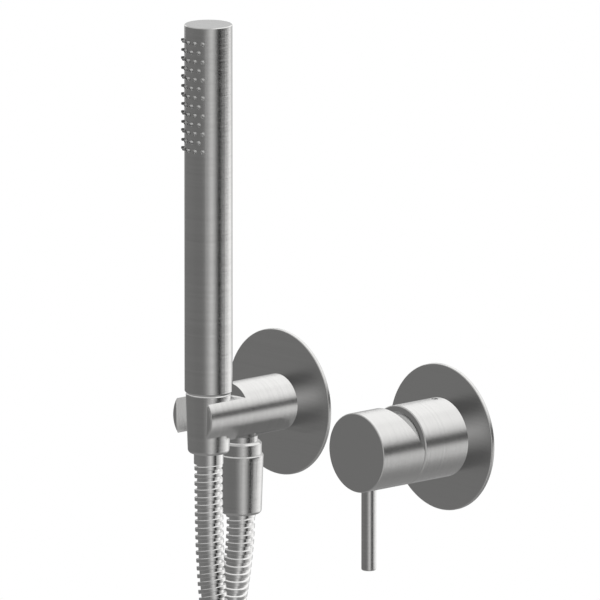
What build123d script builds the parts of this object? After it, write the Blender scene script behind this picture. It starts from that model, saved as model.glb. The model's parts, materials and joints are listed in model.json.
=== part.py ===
from build123d import *
import os
from math import cos, pi, radians, sin, sqrt, tan

os.makedirs("parts", exist_ok=True)

# Frame: X right along the wall, Y into the wall, Z up, origin on the wall at the mixer axis (mm)
centre_distance = 120.0
gap = 0.1
running_gap = 0.3

# Wall plates and their seals
plate_d = 75.0
plate_t = 2.0
plate_edge = 0.4
seal_inner_d = 60.0
seal_w = 3.0
seal_t = 1.0

# Cover sleeve of the mixer
sleeve_wall = 1.85
sleeve_lip_w = 1.3
sleeve_length = 29.2
sleeve_lip_t = 2.0
sleeve_edge = 0.5
sleeve_screw_d = 4.0
sleeve_screw_from_plate = 4.5

# Knob and pin lever
knob_length = 28.4
knob_gap = 0.8
knob_wall = 2.95
knob_face_t = 4.0
knob_edge = 0.4
knob_relief = 25.0
knob_boss_d = 16.0
knob_boss_l = 11.0
knob_rib_w = 9.0
lever_d = 7.5
lever_tip_drop = 61.4
lever_from_face = 8.6
lever_edge = 0.5
lever_thread_d = 5.0
lever_thread_l = 8.5
knob_screw_l = 5.0

# Ceramic cartridge
tilt_range = 22.0
pivot_from_front = 5.2
cartridge_d = 25.0
shell_wall = 1.1
base_t = 3.5
base_lift = 0.4
port_seal_t = 1.4
port_seal_w = 0.9
port_d = 4.6
port_side_x = 5.2
port_side_z = -3.2
port_out_z = 6.0
fixed_disc_edge = 0.6
fixed_disc_t = 3.0
disc_gap = 0.05
moving_disc_edge = 1.6
moving_disc_t = 2.7
moving_disc_rest_z = 1.6
mixing_pocket_d = 8.8
mixing_pocket_z = 2.2
mixing_pocket_depth = 1.2
carrier_side_inset = 2.2
carrier_end_inset = 1.7
carrier_t = 4.6
ball_d = 4.4
ball_arm = 7.8
ball_cover = 2.0
shank_d = 2.6
turret_flange_t = 1.9
turret_neck_d = 16.4
turret_neck_reach = 4.0
turret_rib_w = 2.0
turret_rib_l = 12.0
turret_rib_h = 3.4
turret_slot_w = 6.4
turret_slot_l = 10.8
stem_w = 6.0
stem_head_back = 2.5
pivot_pin_d = 3.0
pivot_pin_l = 15.2
pin_fit = 0.05
lip_t = 1.4

# Brass valve body and the dome nut
body_wall = 3.0
body_back = 16.0
port_spread = 1.3
port_bore_d = 9.0
port_bore_l = 10.0
dome_gap = 0.5
dome_t = 1.5
dome_reach = 10.0
nut_shoulder_t = 2.0
nut_skirt_l = 10.0
nut_skirt_wall = 1.1
nut_front_gap = 2.0

# Holder arm with its fork
arm_d = 29.0
arm_length = 60.0
arm_edge = 0.8
fork_flat_z = 8.5
fork_step_from_front = 26.5
shower_axis_from_front = 11.8
outlet_axis_from_front = 34.1
fork_seat_gap = 0.15
fork_seat_over = 1.0
arm_channel_d = 9.0

# Hose nuts, ferrules and gaskets
nut_top_d = 23.2
nut_bottom_d = 21.1
nut_length = 30.8
nut_top_edge = 0.4
nut_edge = 2.0
nut_thread_d = 20.4
nut_thread_l = 17.1
nut_hole_d = 13.4
nut_top_gap = 0.1
gasket_t = 2.0
gasket_bore_d = 10.0
ferrule_flange_t = 2.5
ferrule_bore_d = 9.0
ferrule_collar_d = 15.0
upper_collar_l = 5.6
lower_collar_l = 1.6
nipple_thread_l = 12.3

# Hand shower
shower_d = 24.4
shower_wall = 1.5
shower_bottom_z = 11.5
shower_length = 190.2
shower_bottom_edge = 1.2
shower_top_edge = 0.4
fitting_plug_l = 12.0
nozzle_rows = 13
nozzle_row_pitch = 4.63
nozzle_first_drop = 8.1
nozzle_step = 19.85
nozzle_turn = 6.0
nozzle_base_d = 2.0
nozzle_tip_d = 1.5
nozzle_height = 1.6
nozzle_hole_gap = 0.15
strip_t = 1.6
strip_side = 16.3
strip_margin = 4.0

# Outlet under the arm, wall nipple and check valve
neck_d = 17.2
neck_seat_z = -5.0
collar_d = 21.4
collar_top_z = -16.4
collar_h = 6.6
collar_edge = 1.0
wall_nipple_d = 20.4
wall_nipple_grip_d = 20.0
wall_nipple_step_y = 1.0
wall_nipple_grip = 12.0
wall_nipple_reach = 22.0
wall_nipple_bore_d = 13.0
valve_bore_d = 14.4
check_length = 11.0
check_wall = 1.2
check_seat_d = 8.0
check_seat_t = 1.5
poppet_d = 10.4
poppet_t = 1.6
poppet_stem_d = 2.6
poppet_stem_l = 6.6
poppet_seat_gap = 0.05
check_foot_t = 1.4
spring_d = 5.6
spring_wire_d = 0.7
spring_turns = 3.5

# Hose: its legs keep the chosen points, the put-away length is a coil
hose_d = 14.5
coil_r = 85.0
coil_z = -240.3
coil_y = -38.8
coil_w = 34.0
coil_corner = 5.0
tie_w = 12.0
tie_t = 1.2
tie_gap = 0.5

# Places worked out from the driving sizes
holder_x = -centre_distance
plate_front = -plate_t
sleeve_front = plate_front - sleeve_length
knob_back = sleeve_front - knob_gap
knob_face = knob_back - knob_length
cartridge_bore_r = cartridge_d / 2 + gap
body_tube_r = cartridge_bore_r + body_wall
nut_bore_r = body_tube_r + gap
dome_r = nut_bore_r + nut_skirt_wall
knob_bore_r = dome_r + dome_gap
knob_r = knob_bore_r + knob_wall
lip_r = dome_r + running_gap
sleeve_bore_r = lip_r + sleeve_lip_w
sleeve_r = sleeve_bore_r + sleeve_wall
pivot_y = sleeve_front + pivot_from_front
lever_y = knob_face + lever_from_face
ball_y = pivot_y + ball_arm
carrier_front = ball_y - ball_cover
carrier_back = carrier_front + carrier_t
moving_back = carrier_back + moving_disc_t
fixed_front = moving_back + disc_gap
fixed_back = fixed_front + fixed_disc_t
base_back = fixed_back + base_t
floor_y = base_back + base_lift
turret_back = carrier_front - running_gap
flange_front = turret_back - turret_flange_t
shell_lip_back = flange_front - gap * 2
shell_front = shell_lip_back - lip_t
turret_front = pivot_y - turret_neck_reach
nut_shoulder_front = shell_front - nut_shoulder_t
body_tube_front = shell_front + nut_front_gap
shell_bore_r = cartridge_d / 2 - shell_wall
fixed_disc_r = shell_bore_r - fixed_disc_edge
moving_disc_r = shell_bore_r - moving_disc_rest_z - moving_disc_edge
carrier_w = (moving_disc_r - carrier_side_inset) * 2
carrier_l = (moving_disc_r - carrier_end_inset) * 2
port_spots = [(-port_side_x, port_side_z), (port_side_x, port_side_z), (0, port_out_z)]
seal_r = port_d / 2 + port_seal_w

arm_front = plate_front - arm_length
shower_y = arm_front + shower_axis_from_front
outlet_y = arm_front + outlet_axis_from_front
step_y = arm_front + fork_step_from_front
shower_top_z = shower_bottom_z + shower_length
nozzle_first_z = shower_top_z - nozzle_first_drop
nut_slope = (nut_top_d - nut_bottom_d) / 2 / nut_length
collar_bottom = collar_top_z - collar_h
upper_nut_top = shower_bottom_z - nut_top_gap
lower_nut_top = collar_bottom - nut_top_gap
nipple_d = nut_thread_d - gap * 2

mixer_axis = Axis((0, 0, 0), (0, 1, 0))
arm_axis = Axis((holder_x, 0, 0), (0, 1, 0))
shower_axis = Axis((holder_x, shower_y, 0), (0, 0, 1))
outlet_axis = Axis((holder_x, outlet_y, 0), (0, 0, 1))
mixer_plane = Plane.XY
arm_plane = Plane.XY.move(Location((holder_x, 0, 0)))
shower_plane = Plane(origin=(holder_x, shower_y, 0), x_dir=(1, 0, 0), z_dir=(0, -1, 0))
outlet_plane = Plane(origin=(holder_x, outlet_y, 0), x_dir=(1, 0, 0), z_dir=(0, -1, 0))


def facing(y):
    """Plane at depth y along the mixer axis, looking out of the wall, with Z up."""
    return Plane(origin=(0, y, 0), x_dir=(1, 0, 0), z_dir=(0, -1, 0))


def finish(piece, name):
    """Label a piece and write its file."""
    piece.part.label = name
    export_step(piece.part, f"parts/{name}.step")


def wall_plate(name, x, hole_r):
    """Round cover plate with a rim chamfer, a centre hole and a groove for its seal."""
    axis = Axis((x, 0, 0), (0, 1, 0))
    r = plate_d / 2
    groove_in = seal_inner_d / 2 - gap
    groove_out = seal_inner_d / 2 + seal_w + gap
    with BuildPart() as plate:
        with BuildSketch(Plane.XY.move(Location((x, 0, 0)))):
            Polygon(
                (hole_r, plate_front), (r - plate_edge, plate_front), (r, plate_front + plate_edge), (r, 0),
                (groove_out, 0), (groove_out, -seal_t), (groove_in, -seal_t), (groove_in, 0), (hole_r, 0),
                align=None,
            )
        revolve(axis=axis)
    finish(plate, name)


def plate_seal(name, x):
    """Rubber ring in the back of a wall plate."""
    with BuildPart() as seal:
        with BuildSketch(Plane.XZ.move(Location((x, 0, 0)))):
            Circle(seal_inner_d / 2 + seal_w)
            Circle(seal_inner_d / 2, mode=Mode.SUBTRACT)
        extrude(amount=seal_t)
    finish(seal, name)


# Wall plates
wall_plate("mixer_wall_plate", 0, body_tube_r + running_gap)
plate_seal("mixer_plate_seal", 0)
wall_plate("holder_wall_plate", holder_x, wall_nipple_d / 2 + running_gap)
plate_seal("holder_plate_seal", holder_x)

# Cover sleeve with a lip round the dome nut
sleeve_screw_y = plate_front - sleeve_screw_from_plate
with BuildPart() as mixer_sleeve:
    with BuildSketch(mixer_plane):
        Polygon(
            (sleeve_bore_r, plate_front), (sleeve_r, plate_front), (sleeve_r, sleeve_front + sleeve_edge),
            (sleeve_r - sleeve_edge, sleeve_front), (lip_r, sleeve_front),
            (lip_r, sleeve_front + sleeve_lip_t), (sleeve_bore_r, sleeve_front + sleeve_lip_t),
            align=None,
        )
    revolve(axis=mixer_axis)
    with Locations((0, sleeve_screw_y, sleeve_r)):
        Cylinder(sleeve_screw_d / 2, sleeve_wall * 3, mode=Mode.SUBTRACT)
finish(mixer_sleeve, "mixer_sleeve")

with BuildPart() as sleeve_grub_screw:
    with BuildSketch(Plane.XY.offset(body_tube_r).move(Location((0, sleeve_screw_y, 0)))):
        Circle(sleeve_screw_d / 2 - pin_fit)
    extrude(amount=sleeve_r - sleeve_edge - body_tube_r)
    with BuildSketch(sleeve_grub_screw.faces().sort_by(Axis.Z)[-1]):
        RegularPolygon(sleeve_screw_d / 4, 6)
    extrude(amount=-sleeve_wall / 2, mode=Mode.SUBTRACT)
finish(sleeve_grub_screw, "sleeve_grub_screw")

# Brass valve body: barrel for the cartridge, three spigot bores in its back
back_ports = [(x * port_spread, z * port_spread) for x, z in port_spots]
with BuildPart() as valve_body:
    with BuildSketch(facing(body_back)):
        Circle(body_tube_r)
    extrude(amount=body_back - body_tube_front)
    with BuildSketch(facing(floor_y)):
        Circle(cartridge_bore_r)
    extrude(amount=floor_y - body_tube_front, mode=Mode.SUBTRACT)
    with BuildSketch(facing(body_back)):
        with Locations(*back_ports):
            Circle(port_bore_d / 2)
    extrude(amount=port_bore_l, mode=Mode.SUBTRACT)
    with BuildSketch(facing(body_back - port_bore_l)):
        with Locations(*port_spots):
            Circle(port_d / 2)
    extrude(amount=body_back - port_bore_l - floor_y, mode=Mode.SUBTRACT)
finish(valve_body, "valve_body")

# Dome nut: screwed over the barrel, its round nose centred on the lever pivot
dome_in_r = dome_r - dome_t
dome_front = pivot_y - dome_reach
dome_mid = radians(60)
nut_mouth_r = turret_neck_d / 2 + running_gap * 2
nut_skirt_back = shell_front + nut_skirt_l
dome_in_edge = sqrt(dome_in_r**2 - dome_reach**2)
dome_in_start = sqrt(dome_in_r**2 - (pivot_y - nut_shoulder_front) ** 2)
with BuildPart() as dome_nut:
    with BuildSketch(mixer_plane):
        with BuildLine():
            skirt = Polyline(
                (dome_in_start, nut_shoulder_front), (nut_mouth_r, nut_shoulder_front),
                (nut_mouth_r, shell_front), (nut_bore_r, shell_front),
                (nut_bore_r, nut_skirt_back), (dome_r, nut_skirt_back), (dome_r, pivot_y),
            )
            nose = ThreePointArc(
                skirt @ 1,
                (dome_r * sin(dome_mid), pivot_y - dome_r * cos(dome_mid)),
                (sqrt(dome_r**2 - dome_reach**2), dome_front),
            )
            rim = Line(nose @ 1, (dome_in_edge, dome_front))
            inside_mid = (pivot_y - nut_shoulder_front + dome_reach) / 2
            ThreePointArc(rim @ 1, (sqrt(dome_in_r**2 - inside_mid**2), pivot_y - inside_mid), skirt @ 0)
        make_face()
    revolve(axis=mixer_axis)
finish(dome_nut, "dome_nut")

# Cartridge shell with a lip over the turret
shell_mouth_r = turret_neck_d / 2 + running_gap
with BuildPart() as cartridge_shell:
    with BuildSketch(mixer_plane):
        Polygon(
            (cartridge_d / 2, base_back), (cartridge_d / 2, shell_front),
            (shell_mouth_r, shell_front), (shell_mouth_r, shell_lip_back),
            (shell_bore_r, shell_lip_back), (shell_bore_r, base_back),
            align=None,
        )
    revolve(axis=mixer_axis)
finish(cartridge_shell, "cartridge_shell")

with BuildPart() as cartridge_base:
    with BuildSketch(facing(base_back)):
        Circle(shell_bore_r - gap)
        with Locations(*port_spots):
            Circle(port_d / 2, mode=Mode.SUBTRACT)
    extrude(amount=base_t)
    with BuildSketch(facing(base_back)):
        with Locations(*port_spots):
            Circle(seal_r + pin_fit)
    extrude(amount=port_seal_t - base_lift, mode=Mode.SUBTRACT)
finish(cartridge_base, "cartridge_base")

with BuildPart() as port_seals:
    with BuildSketch(facing(floor_y)):
        with Locations(*port_spots):
            Circle(seal_r)
            Circle(port_d / 2, mode=Mode.SUBTRACT)
    extrude(amount=port_seal_t)
finish(port_seals, "port_seals")

with BuildPart() as fixed_disc:
    with BuildSketch(facing(fixed_back)):
        Circle(fixed_disc_r)
        with Locations(*port_spots):
            Circle(port_d / 2, mode=Mode.SUBTRACT)
    extrude(amount=fixed_disc_t)
finish(fixed_disc, "fixed_disc")

with BuildPart() as moving_disc:
    with BuildSketch(facing(moving_back)):
        with Locations((0, moving_disc_rest_z)):
            Circle(moving_disc_r)
    extrude(amount=moving_disc_t)
    with BuildSketch(facing(moving_back)):
        with Locations((0, moving_disc_rest_z + mixing_pocket_z)):
            Circle(mixing_pocket_d / 2)
    extrude(amount=mixing_pocket_depth, mode=Mode.SUBTRACT)
finish(moving_disc, "moving_disc")

with BuildPart() as disc_carrier:
    with BuildSketch(facing(carrier_back)):
        with Locations((0, moving_disc_rest_z)):
            Rectangle(carrier_w, carrier_l)
        Circle(ball_d / 2 + gap * 2, mode=Mode.SUBTRACT)
    extrude(amount=carrier_t)
finish(disc_carrier, "disc_carrier")

# Turret: turns in the shell, guides the carrier and carries the pivot pin
rib_x = carrier_w / 2 + running_gap + turret_rib_w / 2
with BuildPart() as turret:
    with BuildSketch(mixer_plane):
        Polygon(
            (0, turret_back), (shell_bore_r - running_gap, turret_back),
            (shell_bore_r - running_gap, flange_front), (turret_neck_d / 2, flange_front),
            (turret_neck_d / 2, turret_front), (0, turret_front),
            align=None,
        )
    revolve(axis=mixer_axis)
    with BuildSketch(facing(turret_back + turret_rib_h)):
        with Locations((-rib_x, 0), (rib_x, 0)):
            Rectangle(turret_rib_w, turret_rib_l)
    extrude(amount=turret_rib_h)
    with BuildSketch(facing(turret_back)):
        Rectangle(turret_slot_w, turret_slot_l)
    extrude(amount=turret_back - turret_front, mode=Mode.SUBTRACT)
    with Locations((0, pivot_y, 0)):
        Cylinder(pivot_pin_d / 2 + pin_fit / 2, turret_neck_d, rotation=(0, 90, 0), mode=Mode.SUBTRACT)
finish(turret, "turret")

with BuildPart() as pivot_pin:
    with Locations((0, pivot_y, 0)):
        Cylinder(pivot_pin_d / 2, pivot_pin_l, rotation=(0, 90, 0))
finish(pivot_pin, "pivot_pin")

# Stem: ball end in the carrier, square end in the knob
socket_floor = knob_face + knob_face_t
stem_front = socket_floor + gap
stem_head = pivot_y + stem_head_back
with BuildPart() as stem:
    with BuildSketch(facing(stem_head)):
        Rectangle(stem_w, stem_w)
    extrude(amount=stem_head - stem_front)
    with BuildSketch(facing(ball_y)):
        Circle(shank_d / 2)
    extrude(amount=ball_y - stem_head)
    with Locations((0, ball_y, 0)):
        Sphere(ball_d / 2)
    with Locations((0, pivot_y, 0)):
        Cylinder(pivot_pin_d / 2 + pin_fit, stem_w * 2, rotation=(0, 90, 0), mode=Mode.SUBTRACT)
finish(stem, "stem")

# Knob: cup with a socket boss, its upper back edge cut away for the tilt
boss_back = socket_floor + knob_boss_l
wedge = knob_r * 2 * tan(radians(knob_relief))
with BuildPart() as knob:
    with BuildSketch(facing(knob_back)):
        Circle(knob_r)
    extrude(amount=knob_length)
    chamfer(knob.faces().sort_by(Axis.Y)[0].edges(), knob_edge)
    with BuildSketch(facing(knob_back)):
        Circle(knob_bore_r)
    extrude(amount=knob_length - knob_face_t, mode=Mode.SUBTRACT)
    with BuildSketch(facing(boss_back)):
        Circle(knob_boss_d / 2)
        with Locations((0, -knob_bore_r / 2)):
            Rectangle(knob_rib_w, knob_bore_r)
    extrude(amount=knob_boss_l)
    with BuildSketch(facing(boss_back)):
        Rectangle(stem_w + gap * 2, stem_w + gap * 2)
    extrude(amount=knob_boss_l, mode=Mode.SUBTRACT)
    with BuildSketch(Plane.YZ):
        Polygon(
            (knob_back, 0), (knob_back - wedge, knob_r * 2), (sleeve_front, knob_r * 2), (sleeve_front, 0),
            align=None,
        )
    extrude(amount=knob_r, both=True, mode=Mode.SUBTRACT)
    with BuildSketch(Plane.XY.offset(-knob_r * 2).move(Location((0, lever_y, 0)))):
        Circle(lever_d / 2 + pin_fit)
    extrude(amount=knob_r * 2 - knob_bore_r, mode=Mode.SUBTRACT)
    with BuildSketch(Plane.XY.offset(-knob_r * 2).move(Location((0, lever_y, 0)))):
        Circle(lever_thread_d / 2)
    extrude(amount=knob_r * 2, mode=Mode.SUBTRACT)
finish(knob, "knob")

with BuildPart() as pin_lever:
    with BuildSketch(Plane.XY.offset(-lever_tip_drop).move(Location((0, lever_y, 0)))):
        Circle(lever_d / 2)
    extrude(amount=lever_tip_drop - knob_bore_r)
    chamfer(pin_lever.faces().sort_by(Axis.Z)[0].edges(), lever_edge)
    with BuildSketch(pin_lever.faces().sort_by(Axis.Z)[-1]):
        Circle(lever_thread_d / 2 - pin_fit)
    extrude(amount=lever_thread_l)
finish(pin_lever, "pin_lever")

with BuildPart() as knob_grub_screw:
    with BuildSketch(Plane.XY.offset(-stem_w / 2).move(Location((0, lever_y, 0)))):
        Circle(lever_thread_d / 2 - pin_fit)
    extrude(amount=-knob_screw_l)
    with BuildSketch(knob_grub_screw.faces().sort_by(Axis.Z)[0]):
        RegularPolygon(lever_thread_d / 4, 6)
    extrude(amount=-knob_screw_l / 2, mode=Mode.SUBTRACT)
finish(knob_grub_screw, "knob_grub_screw")

# Holder arm: round bar, flat-topped fork with a tapered seat, water channel down to the outlet
arm_r = arm_d / 2
seat_z = shower_bottom_z - nut_top_gap


def seat_half(z):
    """Half width of the fork's seat at height z: the nut's cone and its clearance."""
    return nut_top_d / 2 + fork_seat_gap - (seat_z - z) * nut_slope


seat_low = -arm_r - fork_seat_over
seat_high = arm_r + fork_seat_over
with BuildPart() as holder_arm:
    with BuildSketch(Plane.XZ.offset(-plate_front).move(Location((holder_x, 0, 0)))):
        Circle(arm_r)
    extrude(amount=arm_length)
    chamfer(holder_arm.faces().sort_by(Axis.Y)[0].edges(), arm_edge)
    with BuildSketch(Plane.XY.offset(fork_flat_z)):
        with Locations((holder_x, (arm_front + step_y) / 2)):
            Rectangle(arm_d, fork_step_from_front)
    extrude(amount=arm_r, mode=Mode.SUBTRACT)
    with Locations((holder_x, shower_y, (seat_low + seat_high) / 2)):
        Cone(seat_half(seat_low), seat_half(seat_high), seat_high - seat_low, mode=Mode.SUBTRACT)
    with BuildSketch(Plane.XZ.offset(-shower_y).move(Location((holder_x, 0, 0)))):
        Polygon(
            (-seat_half(seat_low), seat_low), (seat_half(seat_low), seat_low),
            (seat_half(seat_high), seat_high), (-seat_half(seat_high), seat_high),
            align=None,
        )
    extrude(amount=shower_axis_from_front + arm_edge, mode=Mode.SUBTRACT)
    with BuildSketch(Plane.XZ.offset(-plate_front).move(Location((holder_x, 0, 0)))):
        Circle(wall_nipple_grip_d / 2 + pin_fit)
    extrude(amount=wall_nipple_grip, mode=Mode.SUBTRACT)
    with BuildSketch(Plane.XZ.offset(-plate_front).move(Location((holder_x, 0, 0)))):
        Circle(arm_channel_d / 2)
    extrude(amount=plate_front - outlet_y, mode=Mode.SUBTRACT)
    with BuildSketch(Plane.XY.offset(neck_seat_z).move(Location((holder_x, outlet_y, 0)))):
        Circle(neck_d / 2 + pin_fit)
    extrude(amount=-arm_r, mode=Mode.SUBTRACT)
    with BuildSketch(Plane.XY.move(Location((holder_x, outlet_y, 0)))):
        Circle(arm_channel_d / 2)
    extrude(amount=neck_seat_z, mode=Mode.SUBTRACT)
finish(holder_arm, "holder_arm")

nipple_front = plate_front - wall_nipple_grip
with BuildPart() as wall_nipple:
    with BuildSketch(arm_plane):
        Polygon(
            (wall_nipple_bore_d / 2, nipple_front), (wall_nipple_grip_d / 2, nipple_front),
            (wall_nipple_grip_d / 2, wall_nipple_step_y), (wall_nipple_d / 2, wall_nipple_step_y),
            (wall_nipple_d / 2, wall_nipple_reach), (wall_nipple_bore_d / 2, wall_nipple_reach),
            align=None,
        )
    revolve(axis=arm_axis)
finish(wall_nipple, "wall_nipple")

# Outlet nipple: neck into the arm, collar, thread into the lower hose nut
thread_end = collar_bottom - nipple_thread_l
check_top = thread_end + check_length
with BuildPart() as outlet_nipple:
    with BuildSketch(outlet_plane):
        Polygon(
            (arm_channel_d / 2, neck_seat_z), (neck_d / 2, neck_seat_z), (neck_d / 2, collar_top_z),
            (collar_d / 2 - collar_edge, collar_top_z), (collar_d / 2, collar_top_z - collar_edge),
            (collar_d / 2, collar_bottom), (nipple_d / 2, collar_bottom), (nipple_d / 2, thread_end),
            (valve_bore_d / 2, thread_end), (valve_bore_d / 2, check_top), (arm_channel_d / 2, check_top),
            align=None,
        )
    revolve(axis=outlet_axis)
finish(outlet_nipple, "outlet_nipple")

# Check valve: seat ring on top, slotted foot below that guides the poppet's stem
check_r = valve_bore_d / 2 - pin_fit
check_bore_r = check_r - check_wall
seat_bottom = check_top - check_seat_t
poppet_top = seat_bottom - poppet_seat_gap
poppet_bottom = poppet_top - poppet_t
foot_top = thread_end + check_foot_t
with BuildPart() as check_valve_body:
    with BuildSketch(outlet_plane):
        Polygon(
            (check_seat_d / 2, check_top), (check_r, check_top), (check_r, thread_end),
            (check_bore_r, thread_end), (check_bore_r, seat_bottom), (check_seat_d / 2, seat_bottom),
            align=None,
        )
    revolve(axis=outlet_axis)
    with BuildSketch(Plane.XY.offset(thread_end).move(Location((holder_x, outlet_y, 0)))):
        Rectangle(check_bore_r * 2 + check_wall, poppet_stem_d * 2)
        Circle(poppet_stem_d / 2 + running_gap, mode=Mode.SUBTRACT)
    extrude(amount=check_foot_t)
finish(check_valve_body, "check_valve_body")

with BuildPart() as check_valve_poppet:
    with BuildSketch(outlet_plane):
        Polygon(
            (0, poppet_top), (poppet_d / 2, poppet_top), (poppet_d / 2, poppet_bottom),
            (poppet_stem_d / 2, poppet_bottom), (poppet_stem_d / 2, poppet_bottom - poppet_stem_l),
            (0, poppet_bottom - poppet_stem_l),
            align=None,
        )
    revolve(axis=outlet_axis)
finish(check_valve_poppet, "check_valve_poppet")

spring_low = foot_top + spring_wire_d / 2
spring_rise = poppet_bottom - spring_wire_d / 2 - spring_low
with BuildPart() as check_valve_spring:
    with BuildLine(Plane.XY.offset(spring_low).move(Location((holder_x, outlet_y, 0)))):
        spring_helix = Helix(spring_rise / spring_turns, spring_rise, spring_d / 2)
    with BuildSketch(Plane(origin=spring_helix @ 0, z_dir=spring_helix % 0)):
        RegularPolygon(spring_wire_d / 2, 6)
    sweep(path=spring_helix, is_frenet=True)
finish(check_valve_spring, "check_valve_spring")


def hose_end(prefix, plane, axis, nut_top, nipple_end, collar_l):
    """Conical nut, gasket and ferrule of one hose end, hanging below nut_top."""
    nut_bottom = nut_top - nut_length
    nut_floor = nut_top - nut_thread_l
    flange_top = nipple_end - gasket_t
    flange_bottom = flange_top - ferrule_flange_t
    flange_r = nut_thread_d / 2 - running_gap
    hole_r = nut_hole_d / 2
    with BuildPart() as nut:
        with BuildSketch(plane):
            Polygon(
                (nut_thread_d / 2, nut_top), (nut_top_d / 2 - nut_top_edge, nut_top),
                (nut_top_d / 2, nut_top - nut_top_edge), (nut_bottom_d / 2, nut_bottom),
                (hole_r, nut_bottom), (hole_r, nut_floor), (nut_thread_d / 2, nut_floor),
                align=None,
            )
        revolve(axis=axis)
        fillet(nut.faces().sort_by(Axis.Z)[0].edges().sort_by(SortBy.RADIUS)[-1], nut_edge)
    finish(nut, f"{prefix}_hose_nut")
    with BuildPart() as gasket:
        with BuildSketch(Plane.XY.offset(nipple_end).move(Location(axis.position))):
            Circle(flange_r)
            Circle(gasket_bore_d / 2, mode=Mode.SUBTRACT)
        extrude(amount=-gasket_t)
    finish(gasket, f"{prefix}_hose_gasket")
    with BuildPart() as ferrule:
        with BuildSketch(plane):
            Polygon(
                (ferrule_bore_d / 2, flange_top), (flange_r, flange_top), (flange_r, flange_bottom),
                (hole_r - gap, flange_bottom), (hole_r - gap, nut_bottom - running_gap),
                (ferrule_collar_d / 2, nut_bottom - running_gap),
                (ferrule_collar_d / 2, nut_bottom - collar_l), (ferrule_bore_d / 2, nut_bottom - collar_l),
                align=None,
            )
        revolve(axis=axis)
    finish(ferrule, f"{prefix}_ferrule")


shower_thread_end = shower_bottom_z - nipple_thread_l
hose_end("upper", shower_plane, shower_axis, upper_nut_top, shower_thread_end, upper_collar_l)
hose_end("lower", outlet_plane, outlet_axis, lower_nut_top, thread_end, lower_collar_l)

# Hand shower: closed tube with a staggered nozzle field facing out from the wall
shower_r = shower_d / 2
shower_bore_r = shower_r - shower_wall
spray_angle = -90 - nozzle_turn
strip_half_angle = nozzle_step * 2 + strip_side
nozzle_planes = []
for row in range(nozzle_rows):
    count = 5 if row % 2 == 0 else 4
    for k in range(count):
        turn = spray_angle + (k - (count - 1) / 2) * nozzle_step
        outward = (cos(radians(turn)), sin(radians(turn)), 0)
        height = nozzle_first_z - row * nozzle_row_pitch
        nozzle_planes.append(Plane(origin=(holder_x, shower_y, height), z_dir=outward))

with BuildPart() as shower_tube:
    with BuildSketch(shower_plane):
        Polygon(
            (0, shower_top_z), (shower_r - shower_top_edge, shower_top_z),
            (shower_r, shower_top_z - shower_top_edge), (shower_r, shower_bottom_z + shower_bottom_edge),
            (shower_r - shower_bottom_edge, shower_bottom_z), (shower_bore_r, shower_bottom_z),
            (shower_bore_r, shower_top_z - shower_wall),
            (0, shower_top_z - shower_wall),
            align=None,
        )
    revolve(axis=shower_axis)
    for plane in nozzle_planes:
        with BuildSketch(plane.offset(shower_bore_r - shower_wall / 2)):
            Circle(nozzle_base_d / 2 + nozzle_hole_gap)
    extrude(amount=shower_wall * 2, mode=Mode.SUBTRACT)
finish(shower_tube, "shower_tube")

strip_r = shower_bore_r - gap
nozzle_root = strip_r - strip_t / 2
on_its_base = (Align.CENTER, Align.CENTER, Align.MIN)
strip_top = nozzle_first_z + strip_margin
strip_bottom = nozzle_first_z - (nozzle_rows - 1) * nozzle_row_pitch - strip_margin
with BuildPart() as nozzle_strip:
    with BuildSketch(Plane.XY.offset(strip_bottom).move(Location((holder_x, shower_y, 0)))):
        with BuildLine():
            start = spray_angle - strip_half_angle
            outer = CenterArc((0, 0), strip_r, start, strip_half_angle * 2)
            inner = CenterArc((0, 0), strip_r - strip_t, start, strip_half_angle * 2)
            Line(outer @ 0, inner @ 0)
            Line(outer @ 1, inner @ 1)
        make_face()
    extrude(amount=strip_top - strip_bottom)
    with Locations(*[plane.offset(nozzle_root).location for plane in nozzle_planes]):
        Cylinder(nozzle_base_d / 2, shower_r - nozzle_root, align=on_its_base)
    with Locations(*[plane.offset(shower_r).location for plane in nozzle_planes]):
        Cone(nozzle_base_d / 2, nozzle_tip_d / 2, nozzle_height, align=on_its_base)
finish(nozzle_strip, "nozzle_strip")

with BuildPart() as shower_end_fitting:
    with BuildSketch(shower_plane):
        Polygon(
            (gasket_bore_d / 2, shower_thread_end), (nipple_d / 2, shower_thread_end),
            (nipple_d / 2, shower_bottom_z), (shower_bore_r - pin_fit, shower_bottom_z),
            (shower_bore_r - pin_fit, shower_bottom_z + fitting_plug_l),
            (gasket_bore_d / 2, shower_bottom_z + fitting_plug_l),
            align=None,
        )
    revolve(axis=shower_axis)
finish(shower_end_fitting, "shower_end_fitting")

# Hose legs: straight runs and tangent arcs, each arc as large as its runs allow
front_leg_points = [
    (-120.0, -50.2, -25.0), (-120.0, -50.2, -52.0), (-118.2, -50.3, -84.0), (-113.4, -50.7, -113.0),
    (-102.4, -51.1, -138.0), (-86.0, -51.5, -158.5), (-65.4, -51.9, -175.2),
]
back_leg_points = [
    (-120.0, -27.9, -55.5), (-120.0, -27.9, -63.6), (-120.9, -28.8, -78.0), (-124.9, -28.4, -97.0),
    (-131.4, -27.9, -118.5), (-142.5, -27.2, -140.5), (-156.5, -26.6, -159.0), (-174.6, -26.0, -175.2),
]
run_share = 0.45


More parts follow.
